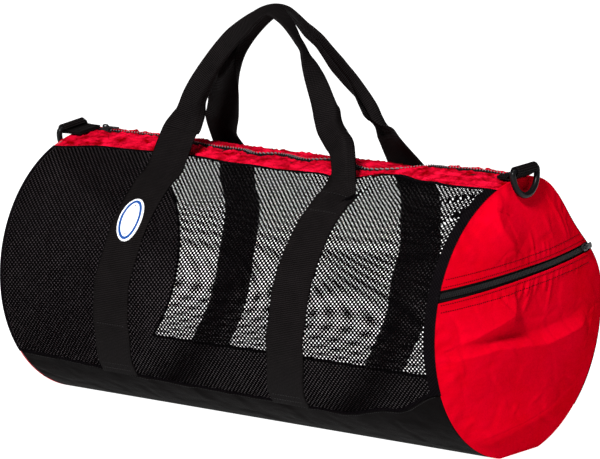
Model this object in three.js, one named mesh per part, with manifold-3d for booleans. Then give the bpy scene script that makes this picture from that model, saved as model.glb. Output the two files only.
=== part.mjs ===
// Mesh duffel bag, in millimetres. X runs along the bag, -Y is its front, +Z is up,
// and the origin is on the floor under its middle.
import * as THREE from "three";
import { mergeVertices } from "three/addons/utils/BufferGeometryUtils.js";
import Module from "manifold-3d";

const wasm = await Module();
wasm.setup();

const { clamp, degToRad, lerp, radToDeg, smoothstep } = THREE.MathUtils;

// Driving dimensions
const BAG = { halfLength: 305, halfWidth: 160, halfHeight: 153, middle: 149, endDome: 16 };
const CLOTH = 1.2;
const GAP = 0.3;
const WEBBING = { width: 50, thick: 1.8, foldGap: 0.4, foldReach: 11.9 };
const MAIN_ZIP = { opening: 13, tapeWidth: 15, tapeThick: 1, chainWidth: 8, chainHeight: 3 };
const POCKET_ZIP = {
  opening: 14.5, tapeWidth: 12, tapeThick: 1, chainWidth: 6, chainHeight: 2.6, sliderScale: 0.82,
};
const SLIDER = {
  length: 13, width: 10, nose: 7.2, height: 3.4, eye: 5, eyeHeight: 3, wall: 1.5, arch: 2.6, clear: 1,
};
const PULL = { length: 19, width: 6.6, tip: 8, cut: 2, bar: 1.6, thick: 1.6, slot: 3.4, slotLength: 7 };
const RING = { wire: 3.5, halfBar: 19.3, corner: 3.5, depth: 28, lean: 8, clearance: 0.4 };
const TAB = { width: 37, tail: 16, thick: 1.8, wrapFrom: -50, wrapTo: 185 };
const LABEL = { x: -128, turn: 31.7, halfWidth: 16, halfHeight: 26.5, thick: 1.2, sweep: 1.4 };

// Turns round the bag are in degrees: 0 is the front, 90 the top, 180 the back, -90 the floor.
// Hollows that the soft body has taken, with their middle, reach and depth. A swell is negative.
const HOLLOWS = [
  { name: "sag of the top", x: -10, turn: 92, reachX: 230, reachTurn: 42, depth: 3 },
  { name: "swell by the right tab", x: 240, turn: 90, reachX: 110, reachTurn: 36, depth: -4 },
  { name: "pull beside the right strap", x: 168, turn: 62, reachX: 55, reachTurn: 26, depth: 11 },
  { name: "pull beside the left strap", x: -70, turn: 58, reachX: 60, reachTurn: 24, depth: 5 },
  { name: "dip by the back right strap", x: 130, turn: 92, reachX: 50, reachTurn: 26, depth: 5 },
  { name: "slack back shoulder", x: 305, turn: 138, reachX: 75, reachTurn: 38, depth: 20 },
  { name: "slack back wall", x: 0, turn: 180, reachX: 290, reachTurn: 62, depth: 26 },
];

// Seam lines along the bag: the turn that each reaches at x.
const SEAMS = {
  frontHem: [
    { x: -305, turn: -37 }, { x: -60, turn: -42 }, { x: 150, turn: -43.5 }, { x: 230, turn: -36 },
    { x: 305, turn: -23 },
  ],
  frontPlacket: [
    { x: -305, turn: 66.5 }, { x: -232, turn: 71 }, { x: -100, turn: 72.8 }, { x: -30, turn: 71.6 },
    { x: 15, turn: 70.4 }, { x: 72, turn: 71 }, { x: 95, turn: 69.4 }, { x: 118, turn: 70.5 },
    { x: 142, turn: 80 }, { x: 160, turn: 80 }, { x: 218, turn: 73 }, { x: 248, turn: 71.8 },
    { x: 305, turn: 73.2 },
  ],
  zip: [
    { x: -305, turn: 90 }, { x: -206, turn: 92 }, { x: -115, turn: 86.5 }, { x: -72, turn: 87.5 },
    { x: -46, turn: 84 }, { x: -20, turn: 88.5 }, { x: 26, turn: 84 }, { x: 54, turn: 89 },
    { x: 112, turn: 82 }, { x: 146, turn: 93 }, { x: 170, turn: 94 }, { x: 212, turn: 90 },
    { x: 250, turn: 91 }, { x: 305, turn: 92 },
  ],
  backPlacket: [{ x: -305, turn: 117 }, { x: 305, turn: 117 }],
  backHem: [{ x: -305, turn: 228 }, { x: 305, turn: 228 }],
};

// Ridges that stand up from the right end: from one end to the other, half width and rise.
const END_RIDGES = [
  { name: "long ridge", fromY: -120, fromZ: 100, toY: 125, toZ: 118, reach: 26, rise: 5 },
  { name: "low ridge", fromY: -95, fromZ: 24, toY: 66, toZ: 50, reach: 22, rise: 4 },
  { name: "upper ridge", fromY: -62, fromZ: 282, toY: -44, toZ: 250, reach: 24, rise: 3 },
];

// The pocket zip crosses the right end from one turn of its rim to another.
const POCKET = { frontTurn: 21, backTurn: 154, nearInset: 9, farInset: 24 };

// The two ends: the turn where each tab is sewn, and its D-ring's bar, out from the rim and up.
const ENDS = [
  { name: "left", side: -1, turn: 83.5, barOut: 11, barUp: 5 },
  { name: "right", side: 1, turn: 88, barOut: 7, barUp: 11 },
];

// Straps sewn to the walls, from the hem up to the placket: x at each turn.
const STRAPS = {
  frontLeft: [
    { turn: -40, x: -156 }, { turn: -13, x: -142 }, { turn: 0, x: -138 }, { turn: 22, x: -129 },
    { turn: 42, x: -125 }, { turn: 60, x: -126 },
  ],
  frontRight: [
    { turn: -42.5, x: 84 }, { turn: -12, x: 104 }, { turn: 4, x: 112 }, { turn: 34, x: 118 },
    { turn: 60, x: 117 },
  ],
  backLeft: [
    { turn: 227, x: -217 }, { turn: 190, x: -213 }, { turn: 150, x: -191 }, { turn: 120, x: -158 },
  ],
  backRight: [
    { turn: 227, x: 41 }, { turn: 193, x: 57 }, { turn: 159, x: 74 }, { turn: 134, x: 87 },
    { turn: 120, x: 98 },
  ],
};

// The free loop of each handle: middle of the webbing, its twist, and how far its edges are folded in.
const LOOPS = {
  front: [
    { x: -130, y: -51, z: 317, twist: 0, fold: 0 },
    { x: -128, y: -45, z: 331, twist: 0, fold: 0.16 },
    { x: -123, y: -38, z: 359, twist: 0, fold: 0.46 },
    { x: -111, y: -30, z: 384, twist: 0, fold: 0.61 },
    { x: -97, y: -24, z: 405, twist: -4, fold: 0.83 },
    { x: -79, y: -19, z: 426, twist: -12, fold: 1 },
    { x: -60, y: -16.5, z: 443, twist: -30, fold: 1 },
    { x: -42, y: -15.5, z: 456, twist: -54, fold: 1 },
    { x: -22, y: -15, z: 462, twist: -76, fold: 1 },
    { x: -3, y: -16, z: 452, twist: -94, fold: 1 },
    { x: 13, y: -20, z: 438, twist: -108, fold: 1 },
    { x: 31, y: -24, z: 420, twist: -112, fold: 1 },
    { x: 42, y: -28, z: 405, twist: -84, fold: 1 },
    { x: 57, y: -34, z: 385, twist: -54, fold: 0.9 },
    { x: 73, y: -41, z: 364, twist: -30, fold: 0.62 },
    { x: 87, y: -48, z: 342, twist: 6, fold: 0.42 },
    { x: 103, y: -54, z: 318, twist: 20, fold: 0.06 },
  ],
  back: [
    { x: -150, y: 56, z: 312, twist: 0, fold: 0.08 },
    { x: -139, y: 48, z: 336, twist: 0, fold: 0.15 },
    { x: -119, y: 36, z: 372, twist: 10, fold: 0.5 },
    { x: -101, y: 25, z: 410, twist: 24, fold: 0.9 },
    { x: -73, y: 18, z: 442, twist: 48, fold: 1 },
    { x: -42, y: 16, z: 460, twist: 64, fold: 1 },
    { x: -17, y: 16, z: 461, twist: 62, fold: 1 },
    { x: 3, y: 17, z: 445, twist: 44, fold: 1 },
    { x: 19, y: 19, z: 427, twist: 26, fold: 1 },
    { x: 36, y: 27, z: 403, twist: 11, fold: 1 },
    { x: 52, y: 32, z: 385, twist: 14, fold: 0.97 },
    { x: 76, y: 39, z: 360, twist: 36, fold: 0.8 },
    { x: 85, y: 43, z: 347, twist: 50, fold: 0.35 },
    { x: 88, y: 46, z: 335, twist: 38, fold: 0.1 },
    { x: 94, y: 49, z: 319, twist: 24, fold: 0 },
  ],
};

const COLOURS = {
  red: 0xd8091f, black: 0x141416, net: 0x101012, plastic: 0x0c0c0e, metal: 0x3a3a3e, white: 0xe8e8ea,
};

const bell = (share) => (Math.abs(share) < 1 ? 0.5 + 0.5 * Math.cos(Math.PI * share) : 0);
const turnBetween = (a, b) => ((((a - b) % 360) + 540) % 360) - 180;

// The value in a table's column at a place, eased from row to row.
function along(rows, key, column, place) {
  const rising = rows[0][key] < rows.at(-1)[key] ? rows : [...rows].reverse();
  const last = rising.findIndex((row) => row[key] >= place);
  if (last === 0) return rising[0][column];
  if (last < 0) return rising.at(-1)[column];
  const [before, after] = [rising[last - 1], rising[last]];
  return lerp(before[column], after[column], smoothstep(place, before[key], after[key]));
}

// A point on the body: `lift` is how far it stands off the outer face of the cloth.
function skin(x, turn, lift = 0) {
  const angle = degToRad(turn);
  const sunk = HOLLOWS.reduce((sum, hollow) => {
    const across = bell(turnBetween(turn, hollow.turn) / hollow.reachTurn);
    return sum + hollow.depth * bell((x - hollow.x) / hollow.reachX) * across;
  }, 0);
  const y = -(BAG.halfWidth + lift - sunk) * Math.cos(angle);
  const z = BAG.middle + (BAG.halfHeight + lift - sunk) * Math.sin(angle);
  return new THREE.Vector3(x, y, Math.max(z, -lift));
}

const turnStep = (width) => radToDeg(width / BAG.halfWidth);

// The direction that faces out of the body there.
function outward(x, turn) {
  const step = 1;
  const round = skin(x, turn + step).sub(skin(x, turn - step));
  const lengthwise = skin(x + step, turn).sub(skin(x - step, turn));
  return lengthwise.cross(round).normalize();
}

// A closed body from its points and triangles, turned so that its faces point out.
function solid(points, triangles) {
  const volume = triangles.reduce((sum, [a, b, c]) => {
    return sum + points[a].dot(points[b].clone().cross(points[c]));
  }, 0);
  const facing = volume > 0 ? triangles : triangles.map(([a, b, c]) => [a, c, b]);
  const geometry = new THREE.BufferGeometry().setFromPoints(points);
  geometry.setIndex(facing.flat());
  geometry.computeVertexNormals();
  return geometry;
}

const quad = (a, b, c, d) => [[a, b, c], [a, c, d]];

// A thin wall between two faces, each given as a point for the shares u and v.
function wall(columns, rows, outer, inner) {
  const points = [];
  for (const face of [outer, inner]) {
    for (let i = 0; i <= columns; i += 1) {
      for (let j = 0; j <= rows; j += 1) points.push(face(i / columns, j / rows));
    }
  }
  const half = points.length / 2;
  const at = (i, j) => i * (rows + 1) + j;
  const triangles = [];
  for (let i = 0; i < columns; i += 1) {
    for (let j = 0; j < rows; j += 1) {
      const [a, b, c, d] = [at(i, j), at(i + 1, j), at(i + 1, j + 1), at(i, j + 1)];
      triangles.push(...quad(a, b, c, d), ...quad(half + d, half + c, half + b, half + a));
    }
  }
  const rim = [];
  for (let i = 0; i < columns; i += 1) rim.push(at(i, 0));
  for (let j = 0; j < rows; j += 1) rim.push(at(columns, j));
  for (let i = columns; i > 0; i -= 1) rim.push(at(i, rows));
  for (let j = rows; j > 0; j -= 1) rim.push(at(0, j));
  rim.forEach((from, k) => {
    const to = rim[(k + 1) % rim.length];
    triangles.push(...quad(to, from, half + from, half + to));
  });
  return solid(points, triangles);
}

// A body drawn through sections of equal count: the outer points, then the inner ones back again.
function loft(sections, ring = false) {
  const sides = sections[0].length;
  const spans = ring ? sections.length : sections.length - 1;
  const triangles = [];
  for (let i = 0; i < spans; i += 1) {
    const here = i * sides;
    const next = ((i + 1) % sections.length) * sides;
    for (let j = 0; j < sides; j += 1) {
      const k = (j + 1) % sides;
      triangles.push(...quad(here + j, here + k, next + k, next + j));
    }
  }
  if (!ring) {
    const end = (sections.length - 1) * sides;
    for (let j = 0; j < sides / 2 - 1; j += 1) {
      const [a, b, c, d] = [j, j + 1, sides - 2 - j, sides - 1 - j];
      triangles.push(...quad(d, c, b, a), ...quad(end + a, end + b, end + c, end + d));
    }
  }
  return solid(sections.flat(), triangles);
}

const bag = new THREE.Group();

function add(name, geometry, colour, { roughness = 0.75, metalness = 0, parent = bag } = {}) {
  const material = new THREE.MeshStandardMaterial({ color: colour, roughness, metalness });
  const mesh = new THREE.Mesh(geometry, material);
  mesh.name = name;
  parent.add(mesh);
  return mesh;
}

// Walls of the tube: each panel lies between two seam lines, less the gap.
const PANEL_END = BAG.halfLength - CLOTH - GAP;
const PANEL_COLUMNS = 26;
const panelX = (share) => lerp(-PANEL_END, PANEL_END, share);
const seam = (name) => (x) => along(SEAMS[name], "x", "turn", x);
const shifted = (line, width) => (x) => line(x) + turnStep(width);
const evenly = (from, to, rows) => Array.from({ length: rows + 1 }, (_, i) => lerp(from, to, i / rows));
const between = (low, high, rows) => (x) => evenly(low(x), high(x), rows);

function panel(turns, { lift = 0, thick = CLOTH } = {}) {
  const rows = turns(0).length - 1;
  const face = (height) => (u, v) => skin(panelX(u), turns(panelX(u))[Math.round(v * rows)], height);
  return wall(PANEL_COLUMNS, rows, face(lift), face(lift - thick));
}

// The bottom's rows meet both edges of the strip that lies flat on the floor.
const FLOOR_TURN = radToDeg(Math.asin(BAG.middle / BAG.halfHeight));
function bottomTurns(x) {
  const back = seam("backHem")(x) - 360 + turnStep(GAP);
  const front = seam("frontHem")(x) - turnStep(GAP);
  return [...evenly(back, FLOOR_TURN - 180, 3), ...evenly(-FLOOR_TURN, front, 4)];
}

const zipLine = seam("zip");
const zipEdge = MAIN_ZIP.opening / 2;
const meshFront = between(seam("frontHem"), shifted(seam("frontPlacket"), -GAP), 12);
const meshBack = between(shifted(seam("backPlacket"), GAP), seam("backHem"), 12);
const placketFront = between(seam("frontPlacket"), shifted(zipLine, -zipEdge), 4);
const placketBack = between(shifted(zipLine, zipEdge), seam("backPlacket"), 4);
const NYLON = { roughness: 0.5 };
add("bottom_panel", panel(bottomTurns), COLOURS.black);
add("mesh_front", panel(meshFront), COLOURS.net);
add("mesh_back", panel(meshBack), COLOURS.net);
add("placket_front", panel(placketFront), COLOURS.red, NYLON);
add("placket_back", panel(placketBack), COLOURS.red, NYLON);

// Main zip: two tapes under the plackets, and the closed chain between them.
const TAPE_LIFT = -CLOTH - 2 * GAP;
const TAB_TAIL_END = BAG.halfLength - TAB.tail;
const SLIDER_X = -TAB_TAIL_END + SLIDER.length / 2 + SLIDER.clear;
const chainEdge = MAIN_ZIP.chainWidth / 2;
const tapeFar = chainEdge + GAP + MAIN_ZIP.tapeWidth;
const tape = { lift: TAPE_LIFT, thick: MAIN_ZIP.tapeThick };
const tapeFront = between(shifted(zipLine, -tapeFar), shifted(zipLine, -chainEdge - GAP), 1);
const tapeBack = between(shifted(zipLine, chainEdge + GAP), shifted(zipLine, tapeFar), 1);
add("zip_tape_front", panel(tapeFront, tape), COLOURS.black);
add("zip_tape_back", panel(tapeBack, tape), COLOURS.black);

function mainChain() {
  const start = SLIDER_X + SLIDER.length / 2 + GAP;
  const end = TAB_TAIL_END - GAP;
  const columns = Array.from({ length: PANEL_COLUMNS + 1 }, (_, i) => panelX(i / PANEL_COLUMNS));
  const stations = [start, ...columns.filter((x) => x > start && x < end), end];
  const bottom = TAPE_LIFT - MAIN_ZIP.tapeThick - GAP;
  return loft(stations.map((x) => {
    const corner = (side, height) => skin(x, zipLine(x) + turnStep(side * chainEdge), bottom + height);
    const top = MAIN_ZIP.chainHeight;
    return [corner(-1, top), corner(1, top), corner(1, 0), corner(-1, 0)];
  }));
}
add("zip_chain", mainChain(), COLOURS.plastic, { roughness: 0.35 });

// How far a point of an end is from the line of a ridge.
function ridgeDistance(ridge, y, z) {
  const run = new THREE.Vector2(ridge.toY - ridge.fromY, ridge.toZ - ridge.fromZ);
  const away = new THREE.Vector2(y - ridge.fromY, z - ridge.fromZ);
  const share = clamp(away.dot(run) / run.lengthSq(), 0, 1);
  return away.sub(run.multiplyScalar(share)).length();
}

// How far out a point of an end is, as a share of the way from its middle to its rim.
function endReach(side, y, z) {
  const turn = radToDeg(Math.atan2((z - BAG.middle) / BAG.halfHeight, -y / BAG.halfWidth));
  const rim = skin(side * BAG.halfLength, turn);
  return Math.min(1, Math.hypot(y, z - BAG.middle) / Math.hypot(rim.y, rim.z - BAG.middle));
}

// A point on an end, which is domed and, on the right, ridged. Both fade out at the rim.
function endPoint(side, y, z, lift = 0) {
  const reach = endReach(side, y, z);
  const ridges = side > 0 ? END_RIDGES : [];
  const fold = ridges.reduce((sum, ridge) => {
    return sum + ridge.rise * bell(ridgeDistance(ridge, y, z) / ridge.reach);
  }, 0);
  const out = BAG.endDome * (1 - reach ** 3) + fold * (1 - reach ** 8);
  return new THREE.Vector3(side * (BAG.halfLength + out + lift), y, z);
}

// A piece of an end, between a lower and an upper line that each give y and z at a share.
function endPiece(side, { low, high, lift = 0, thick = CLOTH, columns, rows }) {
  const face = (height) => (u, v) => {
    const [from, to] = [low(u), high(u)];
    return endPoint(side, lerp(from.y, to.y, v), lerp(from.z, to.z, v), height);
  };
  return wall(columns, rows, face(lift), face(lift - thick));
}

const rimArc = (side, from, to) => (u) => skin(side * BAG.halfLength, lerp(from, to, u));

// A line beside the pocket zip: `offset` above its middle, its ends `inset` from the rim.
const pocketFront = skin(BAG.halfLength, POCKET.frontTurn);
const pocketBack = skin(BAG.halfLength, POCKET.backTurn);
const towardsEnds = (share) => 0.5 - 0.5 * Math.cos(Math.PI * share);
function pocketLine(offset, inset) {
  return (u) => {
    const share = towardsEnds(u);
    const y = lerp(pocketFront.y + inset, pocketBack.y - inset, share);
    const z = lerp(pocketFront.z, pocketBack.z, share) + offset;
    return { y, z };
  };
}
function pocketZ(y) {
  return lerp(pocketFront.z, pocketBack.z, (y - pocketFront.y) / (pocketBack.y - pocketFront.y));
}

// A chord of the rim, for the edges that frame the pocket zip.
function rimChord(frontTurn, backTurn) {
  const [front, back] = [frontTurn, backTurn].map((turn) => skin(BAG.halfLength, turn));
  return (u) => front.clone().lerp(back, towardsEnds(u));
}

// Each piece of an end starts a little way round the rim, so that its corners aren't slivers.
const NOTCH = 1.6;
const slit = turnStep(POCKET_ZIP.opening / 2);
const above = { front: POCKET.frontTurn + slit, back: POCKET.backTurn - slit };
const below = { front: POCKET.frontTurn - slit, back: POCKET.backTurn + slit };
add("end_panel_left", endPiece(-1, {
  low: rimArc(-1, -NOTCH, -180 + NOTCH), high: rimArc(-1, NOTCH, 180 - NOTCH), columns: 20, rows: 9,
}), COLOURS.red, NYLON);
add("end_panel_right", endPiece(1, {
  low: rimChord(above.front, above.back), high: rimArc(1, above.front + NOTCH, above.back - NOTCH),
  columns: 20, rows: 6,
}), COLOURS.red, NYLON);
add("pocket_panel", endPiece(1, {
  low: rimArc(1, below.front - NOTCH, below.back + NOTCH - 360), high: rimChord(below.front, below.back),
  columns: 22, rows: 10,
}), COLOURS.red, NYLON);

// Pocket zip: its tapes lie under the two panels, clear of the tube's end.
const pocketChainEdge = POCKET_ZIP.chainWidth / 2;
const pocketTapeEdge = pocketChainEdge + GAP;
const pocketTape = { lift: TAPE_LIFT, thick: POCKET_ZIP.tapeThick, columns: 20, rows: 1 };
add("pocket_tape_upper", endPiece(1, {
  ...pocketTape, low: pocketLine(pocketTapeEdge, POCKET.nearInset),
  high: pocketLine(pocketTapeEdge + POCKET_ZIP.tapeWidth, POCKET.farInset),
}), COLOURS.black);
add("pocket_tape_lower", endPiece(1, {
  ...pocketTape, low: pocketLine(-pocketTapeEdge - POCKET_ZIP.tapeWidth, POCKET.nearInset),
  high: pocketLine(-pocketTapeEdge, POCKET.nearInset),
}), COLOURS.black);

const pocketSliderHalf = (POCKET_ZIP.sliderScale * SLIDER.length) / 2;
const POCKET_SLIDER_Y = pocketBack.y - POCKET.nearInset - pocketSliderHalf;
function pocketChain() {
  const steps = 20;
  const [front, back] = [pocketFront.y + POCKET.nearInset, POCKET_SLIDER_Y - pocketSliderHalf - GAP];
  const bottom = TAPE_LIFT - POCKET_ZIP.tapeThick - GAP;
  const sections = [];
  for (let i = 0; i <= steps; i += 1) {
    const y = lerp(front, back, i / steps);
    const corner = (side, height) => endPoint(1, y, pocketZ(y) + side * pocketChainEdge, bottom + height);
    const top = POCKET_ZIP.chainHeight;
    sections.push([corner(-1, top), corner(1, top), corner(1, 0), corner(-1, 0)]);
  }
  return loft(sections);
}
add("pocket_chain", pocketChain(), COLOURS.plastic, { roughness: 0.35 });

// A group at a point, with its own X and Z directions.
function framed(point, xAxis, zAxis, parent = bag) {
  const z = zAxis.clone().normalize();
  const y = z.clone().cross(xAxis).normalize();
  const x = y.clone().cross(z);
  const group = new THREE.Group();
  group.position.copy(point);
  group.quaternion.setFromRotationMatrix(new THREE.Matrix4().makeBasis(x, y, z));
  parent.add(group);
  return group;
}

// Joining two closed geometries into one.
function toManifold(geometry) {
  const bare = geometry.clone();
  bare.deleteAttribute("normal");
  bare.deleteAttribute("uv");
  const merged = mergeVertices(bare);
  return new wasm.Manifold(new wasm.Mesh({
    numProp: 3,
    vertProperties: merged.attributes.position.array,
    triVerts: Uint32Array.from(merged.index.array),
  }));
}
function joined(first, second) {
  const mesh = toManifold(first).add(toManifold(second)).getMesh();
  const geometry = new THREE.BufferGeometry();
  geometry.setAttribute("position", new THREE.BufferAttribute(mesh.vertProperties, 3));
  geometry.setIndex(new THREE.BufferAttribute(mesh.triVerts, 1));
  geometry.computeVertexNormals();
  return geometry;
}

const polygon = (points) => new THREE.Shape(points.map(([x, y]) => new THREE.Vector2(x, y)));

// A profile drawn in X and Z, made `width` wide across Y.
function acrossY(shape, width, curveSegments = 6) {
  const geometry = new THREE.ExtrudeGeometry(shape, { depth: width, bevelEnabled: false, curveSegments });
  return geometry.rotateX(Math.PI / 2).translate(0, width / 2, 0);
}

// Zip slider: a waisted body with an arch on top, whose eye holds the pull.
function sliderBody() {
  const { length, width, nose, height, eye, eyeHeight, wall: side, arch } = SLIDER;
  const plan = polygon([
    [-length / 2, -nose / 2], [-length / 6, -width / 2], [length / 2, -width / 2],
    [length / 2, width / 2], [-length / 6, width / 2], [-length / 2, nose / 2],
  ]);
  const body = new THREE.ExtrudeGeometry(plan, { depth: height, bevelEnabled: false });
  const sunk = height / 2;
  const [inner, outer, top] = [eye / 2, eye / 2 + side, height + eyeHeight];
  const bridge = polygon([
    [-outer, sunk], [-inner, sunk], [-inner, top], [inner, top], [inner, sunk], [outer, sunk],
    [outer, top], [inner, top + side], [-inner, top + side], [-outer, top],
  ]);
  return joined(body, acrossY(bridge, arch));
}

// Zip pull: a plate whose end bar lies in the slider's eye.
function pullPlate() {
  const { length, width, tip, cut, bar, thick, slot, slotLength } = PULL;
  const plan = polygon([
    [-bar / 2, -width / 2], [slotLength + bar, -width / 2], [length - cut, -tip / 2], [length, -tip / 4],
    [length, tip / 4], [length - cut, tip / 2], [slotLength + bar, width / 2], [-bar / 2, width / 2],
  ]);
  plan.holes.push(polygon([
    [bar / 2, -slot / 2], [bar / 2, slot / 2], [slotLength, slot / 2], [slotLength, -slot / 2],
  ]));
  const plate = new THREE.ExtrudeGeometry(plan, { depth: thick, bevelEnabled: false });
  return plate.translate(0, 0, -thick / 2);
}

function addSlider(prefix, point, xAxis, zAxis, scale = 1) {
  const place = framed(point, xAxis, zAxis);
  place.scale.setScalar(scale);
  const finish = { roughness: 0.35, metalness: 0.8, parent: place };
  add(`${prefix}_slider`, sliderBody(), COLOURS.metal, finish);
  const pull = add(`${prefix}_pull`, pullPlate(), COLOURS.metal, finish);
  pull.position.z = SLIDER.height + SLIDER.eyeHeight / 2;
}

const mainTurn = zipLine(SLIDER_X);
const SLIDER_LIFT = TAPE_LIFT + GAP;
const mainSeat = skin(SLIDER_X, mainTurn, SLIDER_LIFT);
addSlider("zip", mainSeat, new THREE.Vector3(1, 0, 0), outward(SLIDER_X, mainTurn));
const pocketSeat = (y, offset = 0) => endPoint(1, y, pocketZ(y) + offset, SLIDER_LIFT);
const pocketRun = pocketSeat(POCKET_SLIDER_Y + 1).sub(pocketSeat(POCKET_SLIDER_Y - 1));
const pocketRise = pocketSeat(POCKET_SLIDER_Y, 1).sub(pocketSeat(POCKET_SLIDER_Y, -1));
const pocketOut = pocketRun.clone().cross(pocketRise);
addSlider("pocket", pocketSeat(POCKET_SLIDER_Y), pocketRun, pocketOut, POCKET_ZIP.sliderScale);

// End tabs: doubled webbing on top of each end, looped round a D-ring's bar.
function tabProfile(barOut, barUp) {
  const { tail, thick, wrapFrom, wrapTo } = TAB;
  const hole = RING.wire + RING.clearance;
  const loop = hole + thick;
  const shape = new THREE.Shape();
  shape.moveTo(-tail, GAP);
  shape.lineTo(0, GAP);
  shape.absarc(barOut, barUp, loop, degToRad(wrapFrom), degToRad(wrapTo), false);
  shape.lineTo(-thick * 2, GAP + 2 * thick);
  shape.lineTo(-tail, GAP + 2 * thick);
  shape.holes.push(new THREE.Path().absarc(barOut, barUp, hole, 0, 2 * Math.PI, true));
  return shape;
}

// D-ring: round wire along a straight bar and a half oval.
function ringBody() {
  const { wire, halfBar, corner, depth } = RING;
  const outline = new THREE.Shape();
  outline.moveTo(-halfBar, 0);
  outline.lineTo(halfBar, 0);
  outline.absarc(halfBar, -corner, corner, Math.PI / 2, 0, true);
  outline.absellipse(0, -corner, halfBar + corner, depth - corner, 0, -Math.PI, true, 0);
  outline.absarc(-halfBar, -corner, corner, Math.PI, Math.PI / 2, true);
  const path = outline.getPoints(4).slice(0, -1);
  const sides = 8;
  const sections = path.map((point, i) => {
    const before = path.at(i - 1);
    const after = path[(i + 1) % path.length];
    const run = after.clone().sub(before).normalize();
    return Array.from({ length: sides }, (_, k) => {
      const angle = (2 * Math.PI * (k + 0.5)) / sides;
      const across = wire * Math.cos(angle);
      return new THREE.Vector3(wire * Math.sin(angle), point.x - run.y * across, point.y + run.x * across);
    });
  });
  return loft(sections, true);
}

for (const { name, side, turn, barOut, barUp } of ENDS) {
  const x = side * BAG.halfLength;
  const place = framed(skin(x, turn), new THREE.Vector3(side, 0, 0), outward(x - side * TAB.tail, turn));
  add(`tab_${name}`, acrossY(tabProfile(barOut, barUp), TAB.width), COLOURS.black, { parent: place });
  const ring = add(`d_ring_${name}`, ringBody(), COLOURS.plastic, { roughness: 0.3, parent: place });
  ring.position.set(barOut, 0, barUp);
  ring.rotation.y = -degToRad(RING.lean);
}

// Handles: a strip of webbing hinged along two lines, so that it can lie flat or have its edges folded in.
const STRAP_LIFT = 0.5;
const HALF_WEB = WEBBING.width / 2;
const STRAP_STEP = 7;

// Sections of a strap that lies on the wall, each five points across and the same again below.
function strapSections(rows, sign) {
  const [first, last] = [rows[0].turn, rows.at(-1).turn];
  const steps = Math.round(Math.abs(last - first) / STRAP_STEP);
  return Array.from({ length: steps + 1 }, (_, i) => {
    const turn = lerp(first, last, i / steps);
    const x = along(rows, "turn", "x", turn);
    const across = [-1, -0.5, 0, 0.5, 1].map((share) => x + sign * share * HALF_WEB);
    const outer = across.map((place) => skin(place, turn, STRAP_LIFT + WEBBING.thick));
    const inner = across.map((place) => skin(place, turn, STRAP_LIFT)).reverse();
    return [...outer, ...inner];
  });
}

// One section of a free loop: `fold` turns both edges of the webbing in behind its middle.
function loopSection(point, run, face, twist, fold) {
  const { thick, foldGap, foldReach } = WEBBING;
  const width = run.clone().cross(face).normalize().applyAxisAngle(run, degToRad(twist));
  const out = width.clone().cross(run);
  const turned = Math.PI * fold;
  const mid = (thick + foldGap) / 2;
  const place = (side, angle, height, reach) => point.clone()
    .addScaledVector(width, side * (HALF_WEB / 2 + height * Math.sin(angle) + reach * Math.cos(angle)))
    .addScaledVector(out, height * Math.cos(angle) - reach * Math.sin(angle) - mid);
  const face5 = (height) => [
    place(-1, turned, height, foldReach), place(-1, turned / 2, height, 0), place(1, 0, height, -HALF_WEB / 2),
    place(1, turned / 2, height, 0), place(1, turned, height, foldReach),
  ];
  return [...face5(mid + thick / 2), ...face5(mid - thick / 2).reverse()];
}

// Sections at each row of a loop's table and halfway between, drawn smoothly from strap to strap.
function loopSections(rows, start, end, face) {
  const centre = (section) => section[2].clone().add(section[7]).multiplyScalar(0.5);
  const points = [start.at(-1), start.at(-2), end[0], end[1]].map(centre);
  const [from, before, to, beyond] = points;
  const stops = rows.map(({ x, y, z }) => new THREE.Vector3(x, y, z));
  const curve = new THREE.CatmullRomCurve3([before, from, ...stops, to, beyond], false, "centripetal");
  const spans = curve.points.length - 1;
  const sections = [];
  for (let step = 2; step <= rows.length * 2; step += 1) {
    const index = step / 2;
    const share = (index + 1) / spans;
    const [low, high] = [rows[Math.floor(index) - 1], rows[Math.min(Math.ceil(index), rows.length) - 1]];
    const part = index % 1;
    sections.push(loopSection(curve.getPoint(share), curve.getTangent(share), face,
      lerp(low.twist, high.twist, part), lerp(low.fold, high.fold, part)));
  }
  return sections;
}

function handle(leftRows, rightRows, loopRows, facing) {
  const left = strapSections(leftRows, -facing);
  const right = strapSections([...rightRows].reverse(), facing);
  const loop = loopSections(loopRows, left, right, new THREE.Vector3(0, facing, 0));
  return loft([...left, ...loop, ...right]);
}
add("handle_front", handle(STRAPS.frontLeft, STRAPS.frontRight, LOOPS.front, -1), COLOURS.black);
add("handle_back", handle(STRAPS.backLeft, STRAPS.backRight, LOOPS.back, 1), COLOURS.black);

// Oval patch, left bare, on the front left strap.
function labelPatch() {
  const base = STRAP_LIFT + WEBBING.thick + GAP;
  const face = (lift) => (u, v) => {
    const across = Math.sin(lerp(-LABEL.sweep, LABEL.sweep, u));
    const rise = LABEL.halfHeight * Math.sqrt(1 - across * across) * (2 * v - 1);
    return skin(LABEL.x + LABEL.halfWidth * across, LABEL.turn + turnStep(rise), lift);
  };
  return wall(10, 4, face(base + LABEL.thick), face(base));
}
add("label_patch", labelPatch(), COLOURS.white, { roughness: 0.6 });

export default bag;
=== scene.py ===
import math
from functools import partial

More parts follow.
